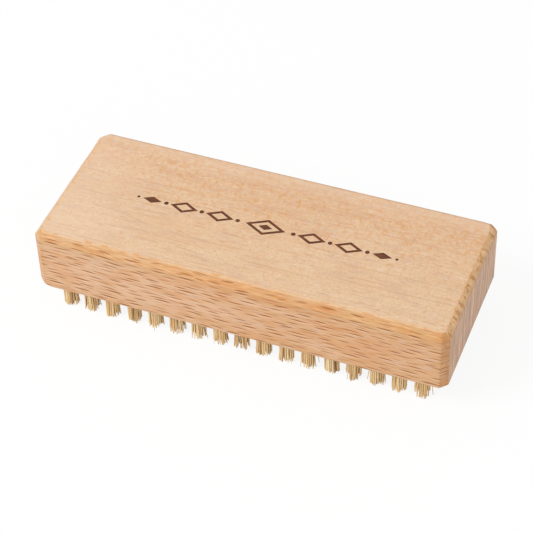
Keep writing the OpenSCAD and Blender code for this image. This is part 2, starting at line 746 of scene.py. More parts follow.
    def _end_colour(self, at: WoodSpace, rings: Socket) -> Socket:
        """The ends: the rings as upright bands, and the rays as thin ones between them.

        Args:
            at: the wood's space.
            rings: the growth rings.

        Returns:
            The colour.
        """
        grained = partial(patches, at.tree, at.grain)
        return self._tinted(
            at.tree,
            linear(self.end_light),
            (
                Tint(grained((ENDLESS, 1.2, 12), 2.0), 0.38, 0.62, 0.45, self.end_dark),
                Tint(rings, 0.1, 0.9, 0.35, self.end_dark),
                Tint(grained((ENDLESS, 0.4, 3.0), 2.0), 0.45, 0.7, 0.5, self.end_dark),
                Tint(grained((ENDLESS, 1.8, 16), 1.0), 0.5, 0.62, 0.3, self.end_grey),
                Tint(grained((ENDLESS, 0.8, 9), 1.0), 0.52, 0.64, 0.4, self.end_rose),
            ),
        )

    def _cut_tints(
        self, at: WoodSpace, rings: Socket, streaks: Socket, block: "BlockSizes"
    ) -> list[Tint]:
        """What sanding leaves on the cuts and beside them.

        Args:
            at: the wood's space.
            rings: the growth rings.
            streaks: thin streaks along the grain.
            block: the block's sizes.

        Returns:
            The tints, from the lowest to the uppermost.
        """
        add = partial(add_node, at.tree)
        burnish = self._burnish(at, block)
        bright = add("Math", (at.end_cut, at.flat), operation="MAXIMUM")
        bright_burnish = add("Math", (burnish, bright), operation="MULTIPLY")
        end_bands = add("Math", (rings, at.end_cut), operation="MULTIPLY")
        spots = patches(at.tree, at.grain, self.spot_size, detail=2.0)
        cut_streaks, pale_spots = (
            add("Math", (value, at.front_cut), operation="MULTIPLY")
            for value in (streaks, spots)
        )
        rim_spots = add("Math", (spots, at.flat), operation="MULTIPLY")
        rim_spots = add("Math", (rim_spots, burnish), operation="MULTIPLY")
        glow = patches(at.tree, at.place, (11, 9, 6), detail=2.0)
        glow = add("Math", (glow, at.side), operation="MULTIPLY")
        return [
            Tint(burnish, 0.0, 1.0, 1.0, self.amber),
            Tint(bright_burnish, 0.0, 1.0, 1.0, self.end_amber),
            Tint(end_bands, 0.2, 0.9, 0.1, self.side_orange),
            Tint(cut_streaks, 0.47, 0.6, 0.65, self.ray_orange),
            Tint(pale_spots, 0.5, 0.66, 0.3, self.end_amber),
            Tint(rim_spots, 0.2, 0.36, 0.6, self.side_orange),
            Tint(glow, 0.5, 0.66, 0.33, self.side_orange),
        ]

    def _corner_tints(self, at: WoodSpace, block: "BlockSizes") -> list[Tint]:
        """The corner cuts: darker next to the end, and more orange at the foot.

        Args:
            at: the wood's space.
            block: the block's sizes.

        Returns:
            The tints, from the lower to the upper one.
        """
        add = partial(add_node, at.tree)
        half_l = block.length / 2
        next_to_end = add(
            "MapRange",
            (at.endwards, half_l - 1.3, half_l - 0.5, 0.15, 1.0),
            interpolation_type="SMOOTHSTEP",
        )
        upright = add("Math", (1.0, at.upward), operation="SUBTRACT")
        on_corner = add("Math", (at.front_cut, upright), operation="MULTIPLY")
        near_foot = add(
            "MapRange", (at.up, block.underside + 4.0, block.underside, 0.0, 1.0)
        )
        darker, foot = (
            add("Math", (on_corner, share), operation="MULTIPLY")
            for share in (next_to_end, near_foot)
        )
        return [
            Tint(darker, 0.0, 1.0, 0.35, self.ray_orange),
            Tint(foot, 0.0, 0.7, 0.6, self.side_orange),
        ]

    def _ray_tints(
        self, at: WoodSpace, dark_rays: Socket, pale_rays: Socket
    ) -> list[Tint]:
        """The rays, which show on the sides and hardly on the other faces.

        On the cuts the pale ones fade, and round the top the dark ones stand out.

        Args:
            at: the wood's space.
            dark_rays: the rays themselves.
            pale_rays: the pale streaks below them.

        Returns:
            The tints, from the lowest to the uppermost.
        """
        add = partial(add_node, at.tree)
        upper_cut = add("Math", (at.oblique, at.upward), operation="MULTIPLY")
        seen = []
        for rays, least, cut, on_cuts in (
            (pale_rays, 0.0, at.oblique, 0.3),
            (dark_rays, 0.08, upper_cut, 1.15),
        ):
            for weight, off, on in ((at.side, least, 1.0), (cut, 1.0, on_cuts)):
                share = add("MapRange", (weight, 0.0, 1.0, off, on))
                rays = add("Math", (rays, share), operation="MULTIPLY")
            seen.append(rays)
        seen_pale, seen_dark = seen
        return [
            Tint(seen_pale, 0.0, 1.0, 0.4, self.side_pale),
            Tint(seen_dark, 0.05, 0.55, 0.5, self.ray_orange),
            Tint(seen_dark, 0.2, 0.95, 0.9, self.ray_brown),
        ]

    def _end_cut_tints(
        self, at: WoodSpace, rings: Socket, block: "BlockSizes"
    ) -> list[Tint]:
        """The teeth that rings make on the cut at the +X end, and its corner's facet.

        Args:
            at: the wood's space.
            rings: the growth rings.
            block: the block's sizes.

        Returns:
            The tints, from the lower to the upper one.
        """
        add = partial(add_node, at.tree)
        start, foot = block.length / 2 - block.top_cut, block.top - block.top_cut
        chosen = patches(at.tree, at.place, (2.4, 1.3, 1.8), detail=2.0)
        teeth = 1.0
        for value, low, high in (
            (rings, -0.5, 0.7),
            (chosen, 0.46, 0.56),
            (at.along, start - 0.3, start + 0.4),
            (at.up, foot - 0.4, block.top - 0.9),
        ):
            near = add(
                "MapRange",
                (value, low, high, 0.0, 1.0),
                interpolation_type="SMOOTHSTEP",
            )
            teeth = add("Math", (teeth, near), operation="MULTIPLY")
        facet = add("Math", (at.end_cut, at.side), operation="MULTIPLY")
        return [
            Tint(teeth, 0.0, 1.0, 0.6, self.ring_brown),
            Tint(facet, 0.06, 0.2, 0.5, self.ring_brown),
        ]

    def _burnish(self, at: WoodSpace, block: "BlockSizes") -> Socket:
        """How far sanding has burnished the oblique cuts and a strip beside them.

        Args:
            at: the wood's space.
            block: the block's sizes.

        Returns:
            The share, from 0 to 1.
        """
        add = partial(add_node, at.tree)
        half = (block.length / 2, block.width / 2, block.height / 2)
        centre = (0.0, 0.0, block.middle_z)
        centred = add("VectorMath", (at.place, centre), operation="SUBTRACT")
        inside = add("VectorMath", (centred,), operation="ABSOLUTE")
        depth = add("VectorMath", (half, inside), operation="SUBTRACT")
        x, y, z = add("SeparateXYZ", (depth,)).node.outputs
        # The middle one of the three depths is the distance to the nearest edge.
        lesser = add("Math", (x, y), operation="MINIMUM")
        greater = add("Math", (x, y), operation="MAXIMUM")
        greater = add("Math", (greater, z), operation="MINIMUM")
        nearest = add("Math", (lesser, greater), operation="MAXIMUM")
        ragged = patches(at.tree, at.place, (3, 2, 2), detail=2.0)
        reach = add("Math", (ragged, 2.0, nearest), operation="MULTIPLY_ADD")
        # The strip is wide and strong on the sides, and faint and broken on the top.
        on_top = add("MapRange", (at.back, -half[1], 0.0, 0.6, 0.1))
        rim = half[0] - block.top_cut
        at_end = add("MapRange", (at.endwards, half[0] - 3.0, rim, 0.0, 0.6))
        on_top = add("Math", (on_top, at_end), operation="MAXIMUM")
        broken = patches(at.tree, at.place, (2.5, 1.0, 1.0), detail=2.0)
        broken = add("MapRange", (broken, 0.38, 0.62, 0.2, 1.5))
        on_top = add("Math", (on_top, broken), operation="MULTIPLY")
        on_side = add("MapRange", (at.up, block.underside, block.middle_z, 0.3, 0.62))
        share = add("MapRange", (at.side, 0.0, 1.0, on_top, on_side))
        share = add("MapRange", (at.end_ward, 0.0, 1.0, share, 0.4))
        limit = add(
            "MapRange", (at.side, 0.0, 1.0, block.top_cut + 2.0, block.top_cut + 5.0)
        )
        strip = add("MapRange", (reach, block.top_cut + 1.0, limit, share, 0.0))
        worn = patches(at.tree, at.place, (4, 1.6, 1.6), detail=3.0)
        uneven = add("MapRange", (worn, 0.35, 0.65, 1.0, 0.2))
        cuts = add("Math", (at.oblique, uneven), operation="MULTIPLY")
        # The cuts at the ends are burnished more, but less towards their foot and at
        # the far end, and the upright ones at the corners less than those at the top.
        left_end = add("Math", (at.along, 0.0), operation="LESS_THAN")
        lower = add(
            "MapRange", (at.up, block.top - 0.4, block.top - block.top_cut, 0.0, 1.0)
        )
        left_end, lower = (
            add("Math", (weight, at.end_ward), operation="MULTIPLY")
            for weight in (left_end, lower)
        )
        for weight, off, on in (
            (at.end_ward, 1.0, 1.3),
            (lower, 1.0, 0.3),
            (left_end, 1.0, 0.5),
            (at.upward, 0.6, 1.0),
        ):
            share = add("MapRange", (weight, 0.0, 1.0, off, on))
            cuts = add("Math", (cuts, share), operation="MULTIPLY")
        return add("Math", (cuts, strip), operation="MAXIMUM")

    def _rings(self, at: WoodSpace) -> Socket:
        """The dark late wood at the end of each year's ring, square to Y.

        Args:
            at: the wood's space.

        Returns:
            The darkness, from 0 to 1.
        """
        add = partial(add_node, at.tree)
        across = add("SeparateXYZ", (at.grain,), out="Y")
        uneven = patches(at.tree, at.grain, self.ring_drift_size, detail=1.0)
        even = add("Math", (across, self.ring_spacing), operation="DIVIDE")
        years = add("Math", (uneven, self.ring_drift, even), operation="MULTIPLY_ADD")
        season = add("Math", (years,), operation="FRACT")
        stops = [(when, grey(dark)) for when, dark in self.ring_seasons]
        return add("ValToRGB", (season,), stops=stops)

    def _rays(self, at: WoodSpace) -> tuple[Socket, Socket]:
        """The rays, ribbons that are lens-shaped in XZ, and the pale streak below each.

        Args:
            at: the wood's space.

        Returns:
            The rays and the pale streaks, each from 0 to 1.
        """
        add = partial(add_node, at.tree)
        axes = add("SeparateXYZ", (at.grain,)).node.outputs
        dip = patches(at.tree, at.grain, self.ray_dip_size, detail=1.0)
        climb = add("Math", (dip, self.ray_dip, axes["Z"]), operation="MULTIPLY_ADD")
        worn_thin = add("MapRange", (at.oblique, 0.0, 1.0, 1.0, self.ray_wear))
        totals = [0.0, 0.0]
        for layer in self.layers:
            courses = add("Math", (climb, layer.cell_height), operation="DIVIDE")
            course = add("Math", (courses,), operation="FLOOR")
            shift = add("Math", (course, layer.offset), operation="ADD")
            shift = add("TexWhiteNoise", {"W": shift}, noise_dimensions="1D")
            bricks = add("Math", (axes["X"], layer.cell_length), operation="DIVIDE")
            bricks = add(
                "Math", (shift, self.course_shift, bricks), operation="MULTIPLY_ADD"
            )
            brick = add("Math", (bricks,), operation="FLOOR")
            cell = add("CombineXYZ", (brick, course, layer.offset))
            chance = add("TexWhiteNoise", (cell,), out="Color", noise_dimensions="3D")
            chance = add("SeparateColor", (chance,)).node.outputs
            lengths = (
                factor * layer.cell_length / layer.half_length
                for factor in self.ray_shorter
            )
            heights = (
                factor * layer.cell_height / layer.half_height
                for factor in self.ray_thinner
            )
            shorter = add("MapRange", (chance[0], 0.0, 1.0, *lengths))
            thinner = add("MapRange", (chance[1], 0.0, 1.0, *heights))
            lift = add("MapRange", (chance[1], 0.0, 1.0, *self.ray_lift))
            u = add("Math", (bricks,), operation="FRACT")
            u = add("Math", (u, 0.5), operation="SUBTRACT")
            u = add("Math", (u, shorter), operation="MULTIPLY")
            v = add("Math", (courses,), operation="FRACT")
            v = add("Math", (v, lift), operation="SUBTRACT")
            for factor in (thinner, worn_thin):
                v = add("Math", (v, factor), operation="MULTIPLY")
            bulge = add("Math", (u, u), operation="MULTIPLY")
            least = self.ray_least * layer.strength
            depth = add("MapRange", (chance[2], 0.0, 0.9, least, layer.strength))
            # In a lens, the square of u and the size of v add up to less than 1.
            for which, below in enumerate((0.0, self.pale_drop)):
                away = add("Math", (v, below), operation="ADD")
                away = add("Math", (away,), operation="ABSOLUTE")
                away = add("Math", (away, bulge), operation="ADD")
                lens = add(
                    "MapRange",
                    (away, 1.0, 0.4, 0.0, depth),
                    interpolation_type="SMOOTHSTEP",
                )
                totals[which] = add("Math", (totals[which], lens), operation="MAXIMUM")
        return totals[0], totals[1]


@dataclass(frozen=True)
class ScorchedBeechFinish:
    """Beech that a hot stamp has browned.

    To the eye it is a matt dark brown with the grain just showing.
    """

    name: str = "scorched_beech"
    dark: str = "#552a14"
    light: str = "#7d4424"
    roughness: float = 0.75

    def material(self) -> bpy.types.Material:
        """Builds the scorched wood.

        Returns:
            The material.
        """
        material, tree = new_material(self.name)
        place = add_node(tree, "TexCoord", out="Object")
        grain = patches(tree, place, (2.5 * MM, 0.3 * MM, 0.3 * MM), detail=3.0)
        stops = [(0.35, linear(self.dark)), (0.7, linear(self.light))]
        colour = add_node(tree, "ValToRGB", (grain,), stops=stops)
        finish_surface(tree, colour, self.roughness, grain, strength=0.4, depth=0.06)
        return material


@dataclass(frozen=True)
class PlantFibreFinish:
    """Stiff plant fibre, combed and cut, undyed.

    To the eye the strands run from cream over straw to a few brown ones, streaked along
    their length, with a slight gloss.
    """

    name: str = "plant_fibre_straw"
    brown: str = "#8f6338"
    tan: str = "#d0a56c"
    straw: str = "#f0cd93"
    cream: str = "#fbe8be"
    roughness: float = 0.5

    def material(self) -> bpy.types.Material:
        """Builds the fibre, whose tone the mesh gives strand by strand.

        Returns:
            The material.
        """
        material, tree = new_material(self.name)
        add = partial(add_node, tree)
        tone = add("Attribute", out="Fac", attribute_name="tone")
        place = add("TexCoord", out="Object")
        streaks = patches(tree, place, (0.15 * MM, 0.15 * MM, 3.0 * MM), detail=2.0)
        centred = add("Math", (streaks, 0.5), operation="SUBTRACT")
        shifted = add("Math", (centred, 0.5, tone), operation="MULTIPLY_ADD")
        stops = [
            (0.0, linear(self.brown)),
            (0.28, linear(self.tan)),
            (0.6, linear(self.straw)),
            (1.0, linear(self.cream)),
        ]
        colour = add("ValToRGB", (shifted,), stops=stops)
        finish_surface(tree, colour, self.roughness, streaks, strength=0.3, depth=0.03)
        return material


@dataclass(frozen=True)
class GalvanisedWireFinish:
    """Flat steel wire with a zinc coat, rolled.

    To the eye it is a light grey metal, a little dull, with fine draw lines along it.
    """

    name: str = "galvanised_flat_wire"
    light: str = "#c9cbcc"
    dark: str = "#a3a6a8"

    def material(self) -> bpy.types.Material:
        """Builds the zinc coat with its draw lines along X.

        Returns:
            The material.
        """
        material, tree = new_material(self.name)
        add = partial(add_node, tree)
        place = add("TexCoord", out="Object")
        lines = patches(tree, place, (2.0 * MM, 0.1 * MM, 0.1 * MM), detail=2.0)
        stops = [(0.3, linear(self.dark)), (0.7, linear(self.light))]
        colour = add("ValToRGB", (lines,), stops=stops)
        rough = add("MapRange", (lines, 0.0, 1.0, 0.35, 0.5))
        surface = finish_surface(tree, colour, rough, lines, strength=0.2, depth=0.02)
        surface.inputs["Metallic"].default_value = 1.0
        return material


@dataclass(frozen=True)
class StudioPaperFinish:
    """Matt white background paper that keeps a light shadow.

    The camera sees it brightened to white, and everything else sees plain paper.
    """

    name: str = "studio_paper_white"
    paper: str = "#ebebea"
    brightened_share: float = 0.9

    def material(self) -> bpy.types.Material:
        """Builds the paper.

        Returns:
            The material.
        """
        material, tree = new_material(self.name)
        add = partial(add_node, tree)
        place = add("TexCoord", out="Object")
        tooth = patches(tree, place, (0.6 * MM, 0.6 * MM, 0.6 * MM), detail=2.0)
        bump = add("Bump", {"Strength": 0.05, "Distance": 0.02 * MM, "Height": tooth})
        plain = add("BsdfDiffuse", {"Color": linear(self.paper), "Normal": bump})
        lit = add("BsdfDiffuse", {"Color": grey(1.0), "Normal": bump})
        glow = add("Emission", {"Color": grey(1.0), "Strength": 1.0})
        seen = add("MixShader", (self.brightened_share, lit, glow))
        surface = add("MixShader", (seen_directly(tree), plain, seen))
        add("OutputMaterial", {"Surface": surface})
        return material


def seen_directly(tree: Tree) -> Socket:
    """Tells the rays of the camera from the rest.

    Args:
        tree: the node tree that gets the nodes.

    Returns:
        One where the camera sees the surface, straight or in a gloss, and else zero.
    """
    rays = add_node(tree, "LightPath").node.outputs
    total = rays["Is Camera Ray"]
    for name in ("Is Glossy Ray", "Is Transmission Ray"):
        total = add_node(tree, "Math", (total, rays[name]), operation="MAXIMUM")
    return total


# The brush


@dataclass(frozen=True)
class BlockSizes:
    """Sizes of the beech block and of the holes that are drilled in it."""

    length: float = 110.0
    width: float = 43.7
    height: float = 18.2
    underside: float = 7.6
    corner_cut: float = 1.9
    top_cut: float = 1.6
    foot_cut: float = 0.5
    tufts_along: int = 17
    tufts_across: int = 7
    end_margin: float = 7.0
    side_margin: float = 4.0
    hole_radius: float = 2.0
    hole_depth: float = 10.0
    drill_point_height: float = 1.2017
    drill_tip_radius: float = 0.02
    # How much further each corner is worn away, all the way up and at its foot, in the
    # order front right, back right, back left, front left.
    corner_wear: tuple[float, ...] = (0.0, 0.0, 0.45, 0.0)
    foot_wear: tuple[float, ...] = (0.0, 0.0, 0.0, 2.3)
    foot_wear_height: float = 1.1

    @property
    def top(self) -> float:
        """Height of the top face."""
        return self.underside + self.height

    @property
    def middle_z(self) -> float:
        """Height of the block's middle."""
        return self.underside + self.height / 2

    @property
    def pitch(self) -> tuple[float, float]:
        """Distance from hole to hole, along and across the block.

        Returns:
            Both distances.
        """
        return (
            (self.length - 2 * self.end_margin) / (self.tufts_along - 1),
            (self.width - 2 * self.side_margin) / (self.tufts_across - 1),
        )

    def outline(self, inset: float, z: float, foot: float) -> list[Point]:
        """The ring of the block's corners at one height.

        Args:
            inset: how far the ring lies inside the block's full size.
            z: the height.
            foot: the share of the foot's wear that this height has.

        Returns:
            The eight corners, anticlockwise as seen from above.
        """
        half_l, half_w = self.length / 2, self.width / 2
        ring = []
        for corner, (x_way, y_way) in enumerate(((1, -1), (1, 1), (-1, 1), (-1, -1))):
            wear = self.corner_wear[corner] + foot * self.foot_wear[corner]
            cut = self.corner_cut + (math.sqrt(2) - 1) * inset + wear
            on_side = (x_way * (half_l - cut), y_way * (half_w - inset), z)
            on_end = (x_way * (half_l - inset), y_way * (half_w - cut), z)
            ring += [on_side, on_end] if x_way * y_way < 0 else [on_end, on_side]
        return ring

    def hole(self, i: int, j: int) -> tuple[float, float]:
        """Places a hole.

        Args:
            i: the number of its row along the block, from 0.
            j: its number in that row, from 0.

        Returns:
            The place of its middle along and across the block.
        """
        along, across = self.pitch
        return (
            (i - (self.tufts_along - 1) / 2) * along,
            (j - (self.tufts_across - 1) / 2) * across,
        )


@dataclass(frozen=True)
class AnchorSizes:
    """Sizes of one flat wire anchor and of its place in the hole."""

    length: float = 4.4
    thickness: float = 0.4
    width: float = 1.6
    top: float = 16.0
    play: float = 0.03

    def slot(self, x: float, y: float) -> list[list[Point]]:
        """The slot round one anchor.

        Args:
            x: the place of its hole along the block.
            y: the place of its hole across the block.

        Returns:
            The slot's lower and upper ring.
        """
        half_l = self.length / 2 + self.play
        half_t = self.thickness / 2 + self.play
        corners = (
            (x - half_l, y - half_t),
            (x + half_l, y - half_t),
            (x + half_l, y + half_t),
            (x - half_l, y + half_t),
        )
        heights = (self.top - self.width - self.play, self.top + self.play)
        return [[(*corner, z) for corner in corners] for z in heights]


class Mark(Enum):
    """Kinds of mark in the stamped band."""

    DOT = "dot"
    LOZENGE = "lozenge"
    OUTLINE = "outline"


@dataclass(frozen=True)
class StampedBand:
    """A plain band of burned lozenges and dots, the same to the left and the right."""

    depth: float = 0.12
    stroke: float = 0.75
    dot_sides: int = 16
    # Each mark: its kind, its distance from the middle, and half its length and width.
    marks: tuple[tuple[Mark, float, float, float], ...] = (
        (Mark.OUTLINE, 0.0, 5.4, 2.9),
        (Mark.LOZENGE, 0.0, 1.9, 1.0),
        (Mark.DOT, 7.5, 0.6, 0.6),
        (Mark.OUTLINE, 12.4, 3.8, 2.05),
        (Mark.DOT, 17.3, 0.6, 0.6),
        (Mark.OUTLINE, 22.2, 3.8, 2.05),
        (Mark.DOT, 27.1, 0.6, 0.6),
        (Mark.LOZENGE, 31.0, 2.6, 1.2),
        (Mark.DOT, 34.8, 0.4, 0.4),
    )

    def cutter(self, top: float) -> bpy.types.Mesh:
        """Makes the stamp's raised faces.

        Args:
            top: the height of the face that it is pressed into.

        Returns:
            A mesh of one closed shell for each mark.
        """
        shells = Shells()
        heights = (top - self.depth, top + OVERRUN)
        for kind, offset, half_l, half_w in self.marks:
            for x in sorted({-offset, offset}):
                if kind is Mark.OUTLINE:
                    self._add_outline(shells, x, half_l, half_w, heights)
                    continue
                sides = self.dot_sides if kind is Mark.DOT else 4
                plan = [
                    (x + half_l * math.cos(a), half_w * math.sin(a))
                    for a in (math.tau * i / sides for i in range(sides))
                ]
                shells.add_stack([[(u, v, z) for u, v in plan] for z in heights])
        return shells.mesh("stamp")

    def _add_outline(
        self,
        shells: Shells,
        x: float,
        half_l: float,
        half_w: float,
        heights: tuple[float, float],
    ) -> None:
        """Adds a lozenge that is drawn as a line of the stroke's width.

        Args:
            shells: the shells that get it.
            x: its middle, along the block.
            half_l: half its length.
            half_w: half its width.
            heights: its lower and upper height.
        """
        slant = math.hypot(half_l, half_w)
        share = 1 - self.stroke * slant / (half_l * half_w)
        start = len(shells.points)
        for z in heights:
            for scale in (1.0, share):
                for u, v in ((half_l, 0), (0, half_w), (-half_l, 0), (0, -half_w)):
                    shells.points.append((x + u * scale, v * scale, z))
        shells.tones.extend([0.5] * (len(shells.points) - start))
        for i in range(4):
            n = (i + 1) % 4
            outer, inner = (i, n), (4 + i, 4 + n)
            for a, b, c, d in (
                (outer[0], outer[1], outer[1] + 8, outer[0] + 8),
                (inner[1], inner[0], inner[0] + 8, inner[1] + 8),
                (outer[1], outer[0], inner[0], inner[1]),
                (outer[0] + 8, outer[1] + 8, inner[1] + 8, inner[0] + 8),
            ):
                shells.faces.append((start + a, start + b, start + c, start + d))

    def covers(self, face: bpy.types.MeshPolygon, top: float) -> bool:
        """Tells the burned faces from the rest.

        Args:
            face: a face of the finished block.
            top: the height of the top.

        Returns:
            Whether the face lies in a burned mark.
        """
        half_l = max(offset + half_l for _, offset, half_l, _ in self.marks)
        half_w = max(half_w for *_, half_w in self.marks)
        x, y, z = face.center
        return (
            abs(x) < half_l
            and abs(y) < half_w
            and top - 1.5 * self.depth < z < top - 0.2 * self.depth
        )


@dataclass
class BeechBlock:
    """The block: chamfered, its edges eased by sanding, drilled and stamped."""

    sizes: BlockSizes
    anchors: AnchorSizes
    band: StampedBand
    edge_round: float = 0.26
    edge_segments: int = 3
    edge_waver: float = 0.1
    waver_lengths: tuple[float, float] = (4.5, 1.7)
    hole_sides: int = 32
    sharp_angle: float = 38.0
    # A point lies on an edge where the faces round it turn by more than this.
    edge_angle: float = 5.0

    def build(self) -> bpy.types.Object:
        """Builds the block's mesh.

        Returns:
            The block, in metres.
        """
        mesh = self._eased_body()
        holes, slots = Shells(), Shells()
        for i in range(self.sizes.tufts_along):
            for j in range(self.sizes.tufts_across):
                x, y = self.sizes.hole(i, j)
                holes.add_stack(self._hole_rings(x, y))
                slots.add_stack(self.anchors.slot(x, y))
        mesh = cut_away(
            mesh,
            [
                holes.mesh("drill"),
                slots.mesh("wire_slots"),
                self.band.cutter(self.sizes.top),
            ],
        )
        for face in mesh.polygons:
            face.material_index = int(self.band.covers(face, self.sizes.top))
            face.use_smooth = True
        mesh.set_sharp_from_angle(angle=math.radians(self.sharp_angle))
        mesh.transform(Matrix.Scale(MM, 4))
        obj = linked_object("beech_block", mesh)
        weighted = obj.modifiers.new("even_shading", "WEIGHTED_NORMAL")
        weighted.keep_sharp = True
        return obj

    def dress(
        self, obj: bpy.types.Object, beech: BeechFinish, scorched: ScorchedBeechFinish
    ) -> None:
        """Gives the block its wood and ties it to the frame.

        Args:
            obj: the block.
            beech: the wood's finish.
            scorched: the finish of the burned marks.
        """
        obj.data.materials.append(beech.material(self.sizes))
        obj.data.materials.append(scorched.material())
        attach(obj, "root")
        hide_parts("block")

    def _hole_rings(self, x: float, y: float) -> list[list[Point]]:
        """One blind hole.

        Args:
            x: its place along the block.
            y: its place across the block.

        Returns:
            Its rings, from under the block up to the drill's point.
        """
        s = self.sizes
        shoulder = s.underside + s.hole_depth
        levels = (
            (s.underside - OVERRUN, s.hole_radius),
            (shoulder, s.hole_radius),
            (shoulder + s.drill_point_height, s.drill_tip_radius),
        )
        return [ring_at((x, y, z), r, self.hole_sides) for z, r in levels]

    def _eased_body(self) -> bpy.types.Mesh:
        """Makes the block before it is drilled, with rounded, slightly wavering edges.

        Returns:
            The block's mesh.
        """
        s = self.sizes
        # How far in each level lies, its height, and its share of the foot's wear.
        levels = (
            (s.foot_cut, s.underside, 1.0),
            (0.0, s.underside + s.foot_cut, 0.5),
            (0.0, s.underside + s.foot_wear_height, 0.0),
            (0.0, s.top - s.top_cut, 0.0),
            (s.top_cut, s.top, 0.0),
        )
        shell = Shells()
        shell.add_stack([s.outline(*level) for level in levels])
        mesh = shell.mesh("beech_block")
        bm = bmesh.new()
        bm.from_mesh(mesh)
        bmesh.ops.bevel(
            bm,
            geom=bm.edges[:],
            offset=self.edge_round,
            offset_type="OFFSET",
            segments=self.edge_segments,
            profile=0.5,
            affect="EDGES",
            clamp_overlap=True,
        )
        self._add_cross_cuts(bm)
        self._waver(bm)
        bmesh.ops.recalc_face_normals(bm, faces=bm.faces[:])
        bm.to_mesh(mesh)
        bm.free()
        put_in_order(mesh)
        return mesh

    def _add_cross_cuts(self, bm: bmesh.types.BMesh) -> None:
        """Divides the faces so that each hole has its own cell and the edges can waver.

        Args:
            bm: the block.
        """
        s = self.sizes
        for way, count, pitch in (
            (Vector((1, 0, 0)), s.tufts_along, s.pitch[0]),
            (Vector((0, 1, 0)), s.tufts_across, s.pitch[1]),
        ):
            for step in range(2 * count + 1):
                place = (step - count) * pitch / 2
                # The underside is divided between the holes, and the rest through their
                # middles too.
                between_holes = (step - count) % 2 == 1
                faces = [
                    f
                    for f in bm.faces
                    if between_holes or f.calc_center_median().z > s.underside + 0.1
                ]
                # A set would hand them over in another order in each run.
                parts = dict.fromkeys(x for f in faces for x in (f, *f.edges, *f.verts))
                bmesh.ops.bisect_plane(
                    bm, geom=list(parts), plane_co=way * place, plane_no=way
                )

    def _waver(self, bm: bmesh.types.BMesh) -> None:
        """Lets the eased edges of the top waver, as hand sanding leaves them.

        Args:
            bm: the block.
        """
        bm.normal_update()
        limit = self.sizes.top - self.sizes.top_cut - 2 * self.edge_round
        moves = []
        for v in bm.verts:
            ways = [face.normal for face in v.link_faces]
            turn = max((a.angle(b, 0.0) for a in ways for b in ways), default=0.0)
            if v.co.z > limit and turn > math.radians(self.edge_angle):
                wide, fine = (noise.noise(v.co / size) for size in self.waver_lengths)
                share = min(1.0, max(0.0, 0.5 + wide + 0.5 * fine))
                moves.append((v, self.edge_waver * share))
        for v, depth in moves:
            v.co -= v.normal * depth


class Lock(NamedTuple):
    """A lock of fibres that lean and end together.

    Attributes:
        middle: its middle at the root.
        lean: how far it leans by its tip.
        end: the height of its tip.
        tone: how much paler its fibres are.
    """

    middle: Vector
    lean: Vector
    end: float
    tone: float


@dataclass(frozen=True)
class FibreHabit:
    """How the fibres of a tuft are spread, lean and end.

    A pair is the range of a random value, and a spread is that of a normal one.
    """

    spacing: float = 0.43
    jitter: float = 0.05
    radius: tuple[float, float] = (0.16, 0.235)
    sides: int = 5
    flatness: float = 0.86
    taper: float = 0.22
    root_z: float = 9.5
    # Where the rings of a fibre lie, as shares of the way from its tip to its root.
    rings: tuple[float, ...] = (0.0, 0.3, 0.65, 1.0)
    locks: int = 6
    lock_turn_spread: float = 0.25
    lock_place: tuple[float, float] = (0.3, 1.0)
    lock_lean_spread: float = 0.12
    lock_end: tuple[float, float] = (-0.25, 0.95)
    lock_tone_spread: float = 0.07
    # How far a fibre leans out at the rim by its tip, and the curve of its lean.
    lean: float = 0.34
    lean_spread: float = 0.06
    lean_curve: float = 1.6
    bend: float = 0.04
    bend_spread: float = 0.05
    end: tuple[float, float] = (-0.5, 0.4)
    rim_rise: float = 0.1
    slant: tuple[float, float] = (0.1, 0.6)
    # The share of strays is this times the first factor in the middle of a tuft, and
    # grows by the second towards its rim.
    stray_share: float = 0.035
    stray_growth: tuple[float, float] = (0.3, 1.4)
    stray_lean: tuple[float, float] = (0.35, 0.8)
    stray_end: tuple[float, float] = (-0.4, 0.8)
    stray_girth: float = 0.6
    tone: float = 0.59
    tone_spread: float = 0.13
    brown_share: float = 0.06
    brown_tone: tuple[float, float] = (0.05, 0.25)


def random_step(draw: random.Random, spread: float) -> Vector:
    """A random level step with this spread along both axes."""
    return Vector((draw.gauss(0, spread), draw.gauss(0, spread), 0))


